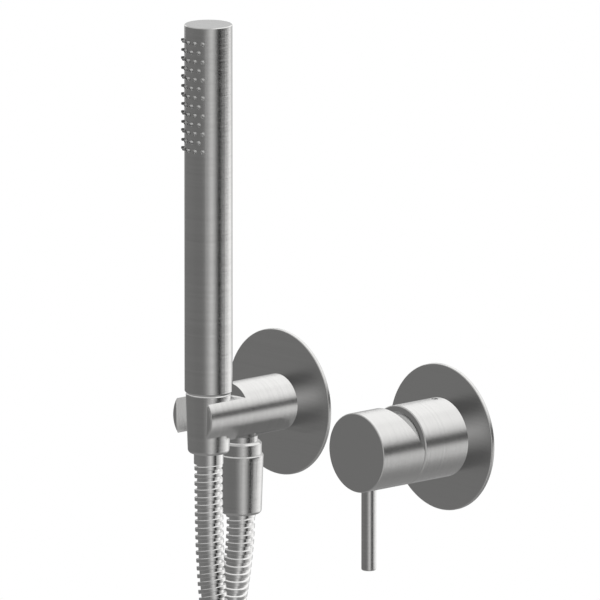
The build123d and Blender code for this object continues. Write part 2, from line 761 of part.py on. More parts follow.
def hose_leg(name, points):
    """Plain tube along a list of route points, with its bend radii printed."""
    corners = [Vector(*p) for p in points]
    radii = []
    for before, corner, after in zip(corners, corners[1:], corners[2:]):
        turn = (corner - before).get_angle(after - corner)
        shorter = min((corner - before).length, (after - corner).length)
        radii.append(run_share * shorter / tan(radians(turn) / 2))
    with BuildPart() as leg:
        with BuildLine() as route:
            FilletPolyline(*corners, radius=radii)
        with BuildSketch(Plane(origin=corners[0], z_dir=corners[1] - corners[0])):
            Circle(hose_d / 2)
        sweep(path=route.wires()[0])
    section = pi * hose_d**2 / 4
    length = route.wires()[0].length
    print(name, "radii", [round(r, 1) for r in radii], "length", round(length, 1),
          "volume share", round(leg.part.volume / (section * length), 4))
    finish(leg, name)


hose_leg("hose_front_leg", front_leg_points)
hose_leg("hose_back_leg", back_leg_points)

with BuildPart() as hose_coil:
    with BuildSketch(Plane.XY.offset(coil_z).move(Location((holder_x, 0, 0)))):
        with Locations((coil_r, coil_y)):
            RectangleRounded(hose_d, coil_w, coil_corner)
    revolve(axis=Axis((holder_x, 0, coil_z), (0, 1, 0)))
finish(hose_coil, "hose_coil")

with BuildPart() as hose_tie:
    with BuildSketch(Plane.YZ.offset(holder_x - tie_w / 2)):
        with Locations((coil_y, coil_z - coil_r)):
            RectangleRounded(coil_w + (tie_gap + tie_t) * 2, hose_d + (tie_gap + tie_t) * 2, coil_corner)
            RectangleRounded(coil_w + tie_gap * 2, hose_d + tie_gap * 2, coil_corner, mode=Mode.SUBTRACT)
    extrude(amount=tie_w)
finish(hose_tie, "hose_tie")
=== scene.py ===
"""Brushed-steel wall mixer with a stick hand shower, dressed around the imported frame."""

import json
import logging
import math
from dataclasses import dataclass, field
from enum import Enum
from typing import Optional

import bmesh
import bpy
from mathutils import Matrix, Vector

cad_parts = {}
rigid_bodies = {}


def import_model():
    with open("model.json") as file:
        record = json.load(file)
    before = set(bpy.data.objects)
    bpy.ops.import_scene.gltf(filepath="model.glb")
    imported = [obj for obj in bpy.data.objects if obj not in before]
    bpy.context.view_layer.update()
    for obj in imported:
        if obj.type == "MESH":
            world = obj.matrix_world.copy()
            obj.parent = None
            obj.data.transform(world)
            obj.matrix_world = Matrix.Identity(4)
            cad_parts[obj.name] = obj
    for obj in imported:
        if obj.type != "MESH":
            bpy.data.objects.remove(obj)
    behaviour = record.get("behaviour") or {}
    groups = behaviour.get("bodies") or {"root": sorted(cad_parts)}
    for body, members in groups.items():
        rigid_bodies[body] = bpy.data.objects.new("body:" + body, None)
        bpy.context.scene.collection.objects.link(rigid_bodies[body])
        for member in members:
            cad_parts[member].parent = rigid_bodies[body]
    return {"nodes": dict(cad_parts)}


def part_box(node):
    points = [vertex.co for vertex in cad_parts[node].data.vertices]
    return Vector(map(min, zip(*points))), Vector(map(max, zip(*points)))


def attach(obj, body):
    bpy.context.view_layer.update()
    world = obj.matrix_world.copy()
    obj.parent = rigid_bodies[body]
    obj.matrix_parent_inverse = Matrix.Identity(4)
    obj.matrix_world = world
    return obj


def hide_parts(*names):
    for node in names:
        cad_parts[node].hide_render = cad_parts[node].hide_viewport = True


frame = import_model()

LOG = logging.getLogger("mixer")
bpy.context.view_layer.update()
MM = 0.001
TOUCHING = MM / 100
WELD = 1e-6
FINE_WELD = 1e-7
FULL_TURN = 2 * math.pi
SMOOTH_ANGLE = math.radians(32)
FLAT_ANGLE = math.radians(0.4)
EDGE_SEGMENTS = 2
LEVEL_FACE = 0.99
# Stage objects that the steel may reflect; the cards carry painted reflections of pieces.
STAGE_MIRRORED = ("light_tent", "floor", "dark_card", "arm_card", "sleeve_card")

Point2 = tuple[float, float]
Point3 = tuple[float, float, float]


class GrainAxis(Enum):
    """Axis that the brush lines run around: they are thin along it."""

    Y = (0.0, 1.0, 0.0)
    Z = (0.0, 0.0, 1.0)


class CordLay(Enum):
    """Words for how a hose lies."""

    COILED = "coiled"


@dataclass(frozen=True)
class Finish:
    """One surface finish: its colour, how shiny it is and how its grain runs."""

    name: str
    slot: str
    colour: Point3
    metallic: float
    roughness: float
    roughness_spread: float = 0.06
    grain_axis: GrainAxis = GrainAxis.Y
    grain_fine: float = 3200.0
    grain_coarse: float = 14.0
    grain_height: float = 0.0
    tint: float = 0.05


class ShaderEffects:
    """Shader node groups that several finishes share."""

    LINE_DETAIL = 3.0
    LINE_CRISPNESS = 0.65
    LINE_SHARE = 0.6
    BROAD_SCALE = 0.23
    BROAD_DETAIL = 2.0
    PATCH_SCALE = 30.0
    PATCH_DETAIL = 4.0
    PATCH_SHARE = 0.4
    SPECK_SCALE = 900.0
    SPECK_DETAIL = 5.0

    @staticmethod
    def _socket(
        tree: bpy.types.NodeTree, name: str, way: str, kind: str, value: Optional[float] = None
    ) -> None:
        """Add one socket to a group's interface."""
        socket = tree.interface.new_socket(name=name, in_out=way, socket_type=kind)
        if value is not None:
            socket.default_value = value

    @classmethod
    def grain(cls) -> bpy.types.NodeTree:
        """Brush lines: long thin noise on stretched coordinates.

        Returns:
            A group that gives a height, a roughness mask and a tint mask.
        """
        tree = bpy.data.node_groups.get("brush_grain")
        if tree is not None:
            return tree
        tree = bpy.data.node_groups.new("brush_grain", "ShaderNodeTree")
        cls._socket(tree, "Vector", "INPUT", "NodeSocketVector")
        cls._socket(tree, "Patch Scale", "INPUT", "NodeSocketFloat", cls.PATCH_SCALE)
        for name in ("Height", "Roughness Mask", "Tint Mask"):
            cls._socket(tree, name, "OUTPUT", "NodeSocketFloat")
        nodes, links = tree.nodes, tree.links
        entry = nodes.new("NodeGroupInput")
        leave = nodes.new("NodeGroupOutput")
        lines = nodes.new("ShaderNodeTexNoise")
        lines.inputs["Scale"].default_value = 1.0
        lines.inputs["Detail"].default_value = cls.LINE_DETAIL
        lines.inputs["Roughness"].default_value = cls.LINE_CRISPNESS
        links.new(entry.outputs["Vector"], lines.inputs["Vector"])
        broad = nodes.new("ShaderNodeTexNoise")
        broad.inputs["Scale"].default_value = cls.BROAD_SCALE
        broad.inputs["Detail"].default_value = cls.BROAD_DETAIL
        links.new(entry.outputs["Vector"], broad.inputs["Vector"])
        coords = nodes.new("ShaderNodeTexCoord")
        patches = nodes.new("ShaderNodeTexNoise")
        patches.inputs["Detail"].default_value = cls.PATCH_DETAIL
        links.new(coords.outputs["Object"], patches.inputs["Vector"])
        links.new(entry.outputs["Patch Scale"], patches.inputs["Scale"])
        blend = nodes.new("ShaderNodeMath")
        blend.operation = "MULTIPLY_ADD"
        blend.inputs[1].default_value = cls.LINE_SHARE
        links.new(lines.outputs["Fac"], blend.inputs[0])
        spare = nodes.new("ShaderNodeMath")
        spare.operation = "MULTIPLY"
        spare.inputs[1].default_value = cls.PATCH_SHARE
        links.new(patches.outputs["Fac"], spare.inputs[0])
        links.new(spare.outputs[0], blend.inputs[2])
        links.new(lines.outputs["Fac"], leave.inputs["Height"])
        links.new(blend.outputs[0], leave.inputs["Roughness Mask"])
        links.new(broad.outputs["Fac"], leave.inputs["Tint Mask"])
        return tree

    @classmethod
    def specks(cls) -> bpy.types.NodeTree:
        """Fine mottling of moulded and rubber pieces.

        Returns:
            A group that gives one mask from a speck size.
        """
        tree = bpy.data.node_groups.get("moulded_specks")
        if tree is not None:
            return tree
        tree = bpy.data.node_groups.new("moulded_specks", "ShaderNodeTree")
        cls._socket(tree, "Speck Scale", "INPUT", "NodeSocketFloat", cls.SPECK_SCALE)
        cls._socket(tree, "Mask", "OUTPUT", "NodeSocketFloat")
        nodes, links = tree.nodes, tree.links
        entry = nodes.new("NodeGroupInput")
        leave = nodes.new("NodeGroupOutput")
        coords = nodes.new("ShaderNodeTexCoord")
        noise = nodes.new("ShaderNodeTexNoise")
        noise.inputs["Detail"].default_value = cls.SPECK_DETAIL
        links.new(coords.outputs["Object"], noise.inputs["Vector"])
        links.new(entry.outputs["Speck Scale"], noise.inputs["Scale"])
        links.new(noise.outputs["Fac"], leave.inputs["Mask"])
        return tree


class FinishShop:
    """Makes one material for each finish, and keeps it."""

    METAL_FROM = 0.5
    MASK_LOW = 0.25
    MASK_HIGH = 0.75
    LEAST_ROUGHNESS = 0.02
    GRAIN_DEPTH = 0.2 * MM

    def __init__(self) -> None:
        """Start with no materials."""
        self._made: dict[str, bpy.types.Material] = {}

    def material(self, finish: Finish) -> bpy.types.Material:
        """Material of a finish, made at its first use.

        Args:
            finish: The finish to make.

        Returns:
            The Blender material.
        """
        if finish.name not in self._made:
            self._made[finish.name] = self._build(finish)
        return self._made[finish.name]

    def _build(self, finish: Finish) -> bpy.types.Material:
        """Build the node tree of one finish.

        Args:
            finish: The finish to build.

        Returns:
            The new material.
        """
        material = bpy.data.materials.new(finish.name)
        material.use_nodes = True
        nodes, links = material.node_tree.nodes, material.node_tree.links
        shader = nodes["Principled BSDF"]
        shader.inputs["Metallic"].default_value = finish.metallic
        shader.inputs["Base Color"].default_value = (*finish.colour, 1.0)
        shader.inputs["Roughness"].default_value = finish.roughness
        if finish.metallic > self.METAL_FROM:
            coords = nodes.new("ShaderNodeTexCoord")
            stretch = nodes.new("ShaderNodeMapping")
            fine = Vector(finish.grain_axis.value)
            stretch.inputs["Scale"].default_value = tuple(
                finish.grain_fine if part else finish.grain_coarse for part in fine
            )
            links.new(coords.outputs["Object"], stretch.inputs["Vector"])
            effect = nodes.new("ShaderNodeGroup")
            effect.node_tree = ShaderEffects.grain()
            links.new(stretch.outputs["Vector"], effect.inputs["Vector"])
            mask, height, tone = (effect.outputs[n] for n in ("Roughness Mask", "Height", "Tint Mask"))
        else:
            effect = nodes.new("ShaderNodeGroup")
            effect.node_tree = ShaderEffects.specks()
            mask = height = tone = effect.outputs["Mask"]
        rough = nodes.new("ShaderNodeMapRange")
        rough.inputs["From Min"].default_value = self.MASK_LOW
        rough.inputs["From Max"].default_value = self.MASK_HIGH
        least = finish.roughness - finish.roughness_spread
        rough.inputs["To Min"].default_value = max(self.LEAST_ROUGHNESS, least)
        rough.inputs["To Max"].default_value = finish.roughness + finish.roughness_spread
        links.new(mask, rough.inputs["Value"])
        links.new(rough.outputs["Result"], shader.inputs["Roughness"])
        shade = nodes.new("ShaderNodeMix")
        shade.data_type = "RGBA"
        darker = (c * (1 - finish.tint) for c in finish.colour)
        lighter = (min(1.0, c * (1 + finish.tint)) for c in finish.colour)
        shade.inputs["A"].default_value = (*darker, 1.0)
        shade.inputs["B"].default_value = (*lighter, 1.0)
        links.new(tone, shade.inputs["Factor"])
        links.new(shade.outputs["Result"], shader.inputs["Base Color"])
        if finish.grain_height > 0:
            bump = nodes.new("ShaderNodeBump")
            bump.inputs["Strength"].default_value = finish.grain_height
            bump.inputs["Distance"].default_value = self.GRAIN_DEPTH
            links.new(height, bump.inputs["Height"])
            links.new(bump.outputs["Normal"], shader.inputs["Normal"])
        return material


STEEL = (0.70, 0.695, 0.685)
# Darker steel colour: painted shade on the hand shower's flat top, in place of a dimmer reflection there.
SHADED_STEEL = (0.30, 0.299, 0.295)
STRIP_STEEL = (0.80, 0.795, 0.785)
STEEL_Y = Finish(
    "brushed_steel_y", "steel", STEEL, 1.0, 0.19, 0.05, GrainAxis.Y, grain_height=0.35, tint=0.08
)
STEEL_Z = Finish(
    "brushed_steel_z", "steel", STEEL, 1.0, 0.19, 0.05, GrainAxis.Z, grain_height=0.35, tint=0.08
)
STEEL_FACE = Finish("brushed_steel_face", "steel", STEEL, 1.0, 0.22, 0.05, GrainAxis.Z, grain_height=0.08)
# Finish of the hand shower's flat top; its darker colour is painted shade.
STEEL_END_SHADED = Finish("brushed_steel_end_painted_shade", "steel", SHADED_STEEL, 1.0, 0.22, 0.05, GrainAxis.Y, grain_height=0.08)
HOSE_STEEL = Finish("hose_strip_steel", "hose", STRIP_STEEL, 1.0, 0.20, 0.05, GrainAxis.Z, grain_height=0.04)
SCREW_STEEL = Finish("screw_steel", "screw_steel", (0.5, 0.5, 0.51), 1.0, 0.28, 0.06, GrainAxis.Z)
BRASS = Finish("turned_brass", "brass", (0.72, 0.56, 0.28), 1.0, 0.32, 0.08, GrainAxis.Y, grain_height=0.06)
BLACK_RUBBER = Finish("black_rubber", "rubber", (0.03, 0.03, 0.032), 0.0, 0.62, 0.08)
NOZZLE_GREY = Finish("nozzle_silicone", "nozzle", (0.30, 0.30, 0.295), 0.0, 0.45, 0.06)
WHITE_PLASTIC = Finish("moulded_plastic", "plastic", (0.72, 0.72, 0.70), 0.0, 0.42, 0.06)
GREY_PLASTIC = Finish("moulded_grey_plastic", "plastic", (0.30, 0.30, 0.296), 0.0, 0.42, 0.06)
CERAMIC = Finish("polished_ceramic", "ceramic", (0.85, 0.84, 0.80), 0.0, 0.12, 0.03)
SHOP = FinishShop()


def link(name: str, mesh: bpy.types.Mesh) -> bpy.types.Object:
    """Put a mesh into the scene as a new object at the origin."""
    piece = bpy.data.objects.new(name, mesh)
    bpy.context.scene.collection.objects.link(piece)
    return piece


def baked(holder: bpy.types.Object, name: str) -> bpy.types.Object:
    """Turn an object with live modifiers into a plain mesh piece.

    Args:
        holder: Object whose evaluated shape is wanted; it is removed.
        name: Name of the new piece.

    Returns:
        The new piece.
    """
    bpy.context.view_layer.update()
    graph = bpy.context.evaluated_depsgraph_get()
    mesh = bpy.data.meshes.new_from_object(holder.evaluated_get(graph))
    mesh.name = name
    bpy.data.objects.remove(holder)
    return link(name, mesh)


def soften(node: str, width: float, finish: Finish, body: str) -> bpy.types.Object:
    """Copy of a CAD node with slightly rounded edges, which replaces it.

    Args:
        node: CAD node to copy.
        width: Width of the rounding, in metres.
        finish: Finish of the piece.
        body: CAD body that carries it.

    Returns:
        The dressed piece.
    """
    mesh = frame["nodes"][node].data.copy()
    edit = bmesh.new()
    edit.from_mesh(mesh)
    bmesh.ops.remove_doubles(edit, verts=edit.verts, dist=WELD)
    bmesh.ops.dissolve_limit(
        edit, angle_limit=FLAT_ANGLE, verts=edit.verts, edges=edit.edges, delimit={"NORMAL"}
    )
    edit.to_mesh(mesh)
    edit.free()
    mesh.materials.clear()
    mesh.materials.append(SHOP.material(finish))
    mesh.shade_smooth()
    mesh.set_sharp_from_angle(angle=SMOOTH_ANGLE)
    holder = link(f"{node}_rough", mesh)
    bevel = holder.modifiers.new("edges", "BEVEL")
    bevel.width = width
    bevel.segments = EDGE_SEGMENTS
    bevel.limit_method = "ANGLE"
    bevel.angle_limit = SMOOTH_ANGLE
    bevel.use_clamp_overlap = True
    bevel.harden_normals = True
    piece = baked(holder, f"{node}_dressed")
    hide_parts(node)
    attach(piece, body)
    LOG.info("%s replaces %s", piece.name, node)
    return piece


def paint(finish: Finish, *nodes: str) -> None:
    """Give CAD nodes a finish and leave their shape."""
    for node in nodes:
        data = frame["nodes"][node].data
        data.materials.clear()
        data.materials.append(SHOP.material(finish))
        LOG.info("%s has finish %s", node, finish.name)


def paint_end(node: str, finish: Finish) -> None:
    """Give the flat top of a CAD node a second finish."""
    data = frame["nodes"][node].data
    data.materials.append(SHOP.material(finish))
    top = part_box(node)[1][2]
    for face in data.polygons:
        if face.normal.z > LEVEL_FACE and abs(face.center.z - top) < TOUCHING:
            face.material_index = len(data.materials) - 1


def hide_from_mirrors() -> None:
    """Let the steel show the light tent, the cards with their painted reflections and the floor, and none of
    the pieces.
    """
    for piece in bpy.context.scene.objects:
        if piece.type == "MESH" and piece.name not in STAGE_MIRRORED:
            piece.visible_glossy = False


class NodeTree:
    """Small helper that builds one Geometry Nodes tree."""

    def __init__(self, name: str) -> None:
        """Make an empty tree with a geometry input and output."""
        self.tree = bpy.data.node_groups.new(name, "GeometryNodeTree")
        self.ids: dict[str, str] = {}
        face = self.tree.interface
        face.new_socket(name="Geometry", in_out="INPUT", socket_type="NodeSocketGeometry")
        face.new_socket(name="Geometry", in_out="OUTPUT", socket_type="NodeSocketGeometry")
        self.entry = self.tree.nodes.new("NodeGroupInput")
        self.leave = self.tree.nodes.new("NodeGroupOutput")

    def value(self, name: str, kind: str = "NodeSocketFloat") -> bpy.types.NodeSocket:
        """Add a named input and return its socket inside the tree."""
        made = self.tree.interface.new_socket(name=name, in_out="INPUT", socket_type=kind)
        self.ids[name] = made.identifier
        return self.entry.outputs[name]

    def add(self, kind: str, settings: Optional[dict] = None, **inputs: object) -> bpy.types.Node:
        """Add a node, with its settings and inputs.

        Args:
            kind: Node type.
            settings: Attributes to set on the node.
            inputs: Socket name, with _ for a space or i0, i1 for a place, to a value or an output socket.

        Returns:
            The new node.
        """
        node = self.tree.nodes.new(kind)
        for key, value in (settings or {}).items():
            setattr(node, key, value)
        for key, value in inputs.items():
            place = key[1:]
            numbered = key[0] == "i" and place.isdigit()
            socket = node.inputs[int(place) if numbered else key.replace("_", " ")]
            if isinstance(value, bpy.types.NodeSocket):
                self.tree.links.new(value, socket)
            else:
                socket.default_value = value
        return node

    def math(self, operation: str, a: object, b: object = 0.0) -> bpy.types.NodeSocket:
        """One scalar operation."""
        return self.add("ShaderNodeMath", {"operation": operation}, i0=a, i1=b).outputs[0]

    def scaled(self, vector: object, factor: object) -> bpy.types.NodeSocket:
        """A vector times a number."""
        return self.add("ShaderNodeVectorMath", {"operation": "SCALE"}, i0=vector, Scale=factor).outputs[0]

    def summed(self, a: object, b: object) -> bpy.types.NodeSocket:
        """The sum of two vectors."""
        return self.add("ShaderNodeVectorMath", {"operation": "ADD"}, i0=a, i1=b).outputs[0]

    def finish(self, geometry: bpy.types.NodeSocket, finish: Finish) -> None:
        """Realize the geometry, set its material and send it out."""
        real = self.add("GeometryNodeRealizeInstances", Geometry=geometry)
        dressed = self.add(
            "GeometryNodeSetMaterial", Geometry=real.outputs[0], Material=SHOP.material(finish)
        )
        self.tree.links.new(dressed.outputs[0], self.leave.inputs[0])

    def run(self, holder: bpy.types.Object, name: str, values: dict[str, object]) -> bpy.types.Object:
        """Run the tree on an object and keep the result as a plain piece.

        Args:
            holder: Object that carries the input geometry.
            name: Name of the new piece.
            values: Named inputs and their values.

        Returns:
            The new piece.
        """
        modifier = holder.modifiers.new(name, "NODES")
        modifier.node_group = self.tree
        for key, value in values.items():
            modifier[self.ids[key]] = value
        return baked(holder, name)


@dataclass
class Hose:
    """Interlocked metal hose from the hand shower to the wall outlet, with its spare length coiled."""

    diameter: float = 14.5 * MM
    notch_diameter: float = 11.8 * MM
    pitch: float = 3.95 * MM
    ridge_width: float = 2.1 * MM
    ridge_root: float = 0.3 * MM
    ridge_corner: float = 0.25 * MM
    ridge_phase: float = math.radians(168.0)
    length: float = 1.25
    front_leg: tuple[Point3, ...] = (
        (-0.1200, -0.0502, -0.0250), (-0.1200, -0.0502, -0.0520), (-0.1182, -0.0503, -0.0840),
        (-0.1134, -0.0507, -0.1130), (-0.1024, -0.0511, -0.1380), (-0.0860, -0.0515, -0.1585),
    )
    back_leg: tuple[Point3, ...] = (
        (-0.1565, -0.0266, -0.1590), (-0.1425, -0.0272, -0.1405), (-0.1314, -0.0279, -0.1185),
        (-0.1249, -0.0284, -0.0970), (-0.1209, -0.0288, -0.0780), (-0.1200, -0.0279, -0.0636),
        (-0.1200, -0.0279, -0.0555),
    )
    coil_centre: Point2 = (-0.1200, -0.2403)
    coil_radius: float = 0.085
    coil_front: float = -0.0536
    coil_rise: float = 0.0148
    coil_start: float = 40.0
    coil_end: float = 680.0
    coil_steps: int = 40
    line_steps: int = 12
    line_order: int = 3
    ridge_points: int = 20
    core_sides: int = 28

    def route(self) -> list[Point3]:
        """Control points of the hose's centreline."""
        points = list(self.front_leg)
        for step in range(self.coil_steps + 1):
            degrees = self.coil_start + (self.coil_end - self.coil_start) * step / self.coil_steps
            turn = math.radians(degrees)
            points.append((
                self.coil_centre[0] + self.coil_radius * math.sin(turn),
                self.coil_front + self.coil_rise * degrees / 360,
                self.coil_centre[1] + self.coil_radius * math.cos(turn),
            ))
        return points + list(self.back_leg)

    def centreline(self) -> bpy.types.Object:
        """The hose's centreline as one open curve.

        Returns:
            The curve object.
        """
        curve = bpy.data.curves.new("hose_line", "CURVE")
        curve.dimensions = "3D"
        curve.resolution_u = self.line_steps
        spline = curve.splines.new("NURBS")
        points = self.route()
        spline.points.add(len(points) - 1)
        for control, place in zip(spline.points, points):
            control.co = (*place, 1.0)
        spline.order_u = self.line_order
        spline.use_endpoint_u = True
        holder = bpy.data.objects.new("hose_line", curve)
        bpy.context.scene.collection.objects.link(holder)
        return holder

    def strip_tree(self) -> NodeTree:
        """Geometry Nodes tree of a helical strip over a smooth core, along a curve.

        Returns:
            The tree.
        """
        made = NodeTree("interlocked_hose")
        core_radius = made.value("Core Radius")
        ridge_radius = made.value("Ridge Radius")
        ridge_depth = made.value("Ridge Depth")
        pitch = made.value("Pitch")
        width = made.value("Ridge Width")
        source = made.entry.outputs["Geometry"]
        core_line = made.add("GeometryNodeResampleCurve", {"mode": "LENGTH"}, Curve=source, Length=pitch)
        core_ring = made.add(
            "GeometryNodeCurvePrimitiveCircle", Resolution=self.core_sides, Radius=core_radius
        )
        core = made.add(
            "GeometryNodeCurveToMesh",
            Curve=core_line.outputs[0], Profile_Curve=core_ring.outputs[0], Fill_Caps=True,
        )
        step = made.math("DIVIDE", pitch, float(self.ridge_points))
        fine = made.add("GeometryNodeResampleCurve", {"mode": "LENGTH"}, Curve=source, Length=step)
        along = made.add("GeometryNodeSplineParameter").outputs["Length"]
        turns = made.math("MULTIPLY", made.math("DIVIDE", along, pitch), FULL_TURN)
        angle = made.math("ADD", turns, self.ridge_phase)
        normal = made.add("GeometryNodeInputNormal").outputs[0]
        tangent = made.add("GeometryNodeInputTangent").outputs[0]
        across = made.add("ShaderNodeVectorMath", {"operation": "CROSS_PRODUCT"}, i0=tangent, i1=normal)
        side = across.outputs[0]
        outward = made.summed(
            made.scaled(normal, made.math("COSINE", angle)), made.scaled(side, made.math("SINE", angle))
        )
        kept = made.add("GeometryNodeCaptureAttribute", Geometry=fine.outputs[0])
        kept.capture_items.new("VECTOR", "Outward")
        made.tree.links.new(outward, kept.inputs["Outward"])
        spoke = kept.outputs["Outward"]
        spiral = made.add(
            "GeometryNodeSetPosition", Geometry=kept.outputs[0], Offset=made.scaled(spoke, ridge_radius)
        )
        upright = made.add(
            "GeometryNodeSetCurveNormal", {"mode": "FREE"}, Curve=spiral.outputs[0], Normal=spoke
        )
        bar = made.add("GeometryNodeCurvePrimitiveQuadrilateral", Width=ridge_depth, Height=width)
        rounded = made.add(
            "GeometryNodeFilletCurve", {"mode": "POLY"},
            Curve=bar.outputs[0], Count=1, Radius=self.ridge_corner,
        )
        ridge = made.add(
            "GeometryNodeCurveToMesh",
            Curve=upright.outputs[0], Profile_Curve=rounded.outputs[0], Fill_Caps=True,
        )
        both = made.add("GeometryNodeJoinGeometry")
        made.tree.links.new(core.outputs[0], both.inputs[0])
        made.tree.links.new(ridge.outputs[0], both.inputs[0])
        smooth = made.add("GeometryNodeSetShadeSmooth", Geometry=both.outputs[0])
        made.finish(smooth.outputs[0], HOSE_STEEL)
        return made

    def build(self) -> None:
        line = self.centreline()
        bpy.context.view_layer.update()
        graph = bpy.context.evaluated_depsgraph_get()
        sampled = bpy.data.meshes.new_from_object(line.evaluated_get(graph))
        bpy.data.meshes.remove(sampled)
        ridge_depth = (self.diameter - self.notch_diameter) / 2 + self.ridge_root
        hose = self.strip_tree().run(line, "metal_hose", {
            "Core Radius": self.notch_diameter / 2,
            "Ridge Radius": (self.diameter - ridge_depth) / 2,
            "Ridge Depth": ridge_depth,
            "Pitch": self.pitch,
            "Ridge Width": self.ridge_width,
        })
        hose.data.set_sharp_from_angle(angle=SMOOTH_ANGLE)
        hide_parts("hose_front_leg", "hose_back_leg", "hose_coil")
        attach(hose, "fixed")
        paint(BLACK_RUBBER, "hose_tie")
        LOG.info("metal_hose: %d faces", len(hose.data.polygons))


@dataclass
class NozzleField:
    """Staggered silicone nozzles on their bent backing strip, through the wall of the hand shower."""

    rows: int = 13
    widest_row: int = 5
    row_pitch: float = 4.63 * MM
    first_drop: float = 8.1 * MM
    step: float = math.radians(19.85)
    facing: float = math.radians(-96.0)
    tube_wall: float = 1.6 * MM
    strip_thickness: float = 1.6 * MM
    strip_side: float = math.radians(16.3)
    strip_margin: float = 4.0 * MM
    strip_steps: int = 30
    nozzle_sides: int = 18
    nozzle_profile: tuple[Point2, ...] = (
        (0.0, -2.3 * MM), (1.0 * MM, -2.3 * MM), (1.0 * MM, -1.5 * MM), (1.12 * MM, -1.4 * MM),
        (1.12 * MM, -0.08 * MM), (0.80 * MM, -0.02 * MM), (0.74 * MM, 1.15 * MM), (0.62 * MM, 1.45 * MM),
        (0.46 * MM, 1.6 * MM), (0.30 * MM, 1.6 * MM), (0.24 * MM, 1.4 * MM), (0.22 * MM, -0.4 * MM),
        (0.0, -0.4 * MM),
    )

    def nozzle(self) -> bpy.types.Object:
        """One nozzle with its spray hole, turned about its own Z axis.

        Returns:
            The nozzle, with the outer face of the tube at height 0.
        """
        edit = bmesh.new()
        ring = [edit.verts.new((r, 0.0, z)) for r, z in self.nozzle_profile]
        line = [edit.edges.new(pair) for pair in zip(ring, ring[1:])]
        bmesh.ops.spin(
            edit, geom=ring + line, cent=(0, 0, 0), axis=(0, 0, 1), angle=FULL_TURN, steps=self.nozzle_sides
        )
        return self._closed(edit, "nozzle")

    def strip(self, axis: Point2, radius: float, low: float, high: float) -> bpy.types.Object:
        """Bent backing strip behind the tube's wall.

        Args:
            axis: Place of the tube's axis in X and Y.
            radius: Outer radius of the strip.
            low: Height of its lower end.
            high: Height of its upper end.

        Returns:
            The strip.
        """
        half = (self.widest_row - 1) / 2 * self.step + self.strip_side
        start = self.facing - half
        inner = radius - self.strip_thickness
        edit = bmesh.new()
        corners = [
            edit.verts.new((axis[0] + r * math.cos(start), axis[1] + r * math.sin(start), z))
            for r, z in ((radius, low), (radius, high), (inner, high), (inner, low))
        ]
        end = edit.faces.new(corners)
        bmesh.ops.spin(
            edit, geom=[end], cent=(*axis, 0.0), axis=(0, 0, 1), angle=2 * half, steps=self.strip_steps
        )
        return self._closed(edit, "nozzle_backing")

    @staticmethod
    def _closed(edit: bmesh.types.BMesh, name: str) -> bpy.types.Object:
        """Weld a spun shape, turn its faces outwards and put it into the scene."""
        bmesh.ops.remove_doubles(edit, verts=edit.verts, dist=FINE_WELD)
        bmesh.ops.recalc_face_normals(edit, faces=edit.faces)
        mesh = bpy.data.meshes.new(name)
        edit.to_mesh(mesh)
        edit.free()
        mesh.shade_smooth()
        mesh.set_sharp_from_angle(angle=SMOOTH_ANGLE)
        return link(name, mesh)

    def field_tree(self) -> NodeTree:
        """Geometry Nodes tree that sets nozzles in staggered rows round a standing tube.

        Returns:
            The tree; its input geometry is the backing strip.
        """
        made = NodeTree("nozzle_field")
        nozzle = made.value("Nozzle", "NodeSocketObject")
        axis = made.value("Axis", "NodeSocketVector")
        radius = made.value("Radius")
        top = made.value("First Height")
        pitch = made.value("Row Pitch")
        step = made.value("Step")
        facing = made.value("Facing")
        line = made.add("GeometryNodeMeshLine", Count=self.rows * self.widest_row)
        index = made.add("GeometryNodeInputIndex").outputs[0]
        row = made.math("FLOOR", made.math("DIVIDE", made.math("ADD", index, 0.5), float(self.widest_row)))
        place = made.math("SUBTRACT", index, made.math("MULTIPLY", row, float(self.widest_row)))
        short = made.math("MODULO", row, 2.0)
        middle = made.math("MULTIPLY", made.math("SUBTRACT", self.widest_row - 1.0, short), 0.5)
        turn = made.math("ADD", facing, made.math("MULTIPLY", made.math("SUBTRACT", place, middle), step))
        height = made.math("SUBTRACT", top, made.math("MULTIPLY", row, pitch))
        spoke = made.add(
            "ShaderNodeCombineXYZ",
            X=made.math("MULTIPLY", made.math("COSINE", turn), radius),
            Y=made.math("MULTIPLY", made.math("SINE", turn), radius),
            Z=height,
        )
        placed = made.add(
            "GeometryNodeSetPosition", Geometry=line.outputs[0], Position=made.summed(axis, spoke.outputs[0])
        )
        surplus = made.math("GREATER_THAN", made.math("MULTIPLY", short, place), self.widest_row - 1.5)
        spots = made.add("GeometryNodeDeleteGeometry", Geometry=placed.outputs[0], Selection=surplus)
        spot = made.add("GeometryNodeInputPosition").outputs[0]
        away = made.add("ShaderNodeVectorMath", {"operation": "SUBTRACT"}, i0=spot, i1=axis).outputs[0]
        level = made.add("ShaderNodeVectorMath", {"operation": "MULTIPLY"}, i0=away, i1=(1.0, 1.0, 0.0))
        aim = made.add("FunctionNodeAlignRotationToVector", {"axis": "Z"}, Vector=level.outputs[0])
        model = made.add("GeometryNodeObjectInfo", Object=nozzle)
        copies = made.add(
            "GeometryNodeInstanceOnPoints",
            Points=spots.outputs[0], Instance=model.outputs["Geometry"], Rotation=aim.outputs[0],
        )
        both = made.add("GeometryNodeJoinGeometry")
        made.tree.links.new(made.entry.outputs["Geometry"], both.inputs[0])
        made.tree.links.new(copies.outputs[0], both.inputs[0])
        made.finish(both.outputs[0], NOZZLE_GREY)
        return made

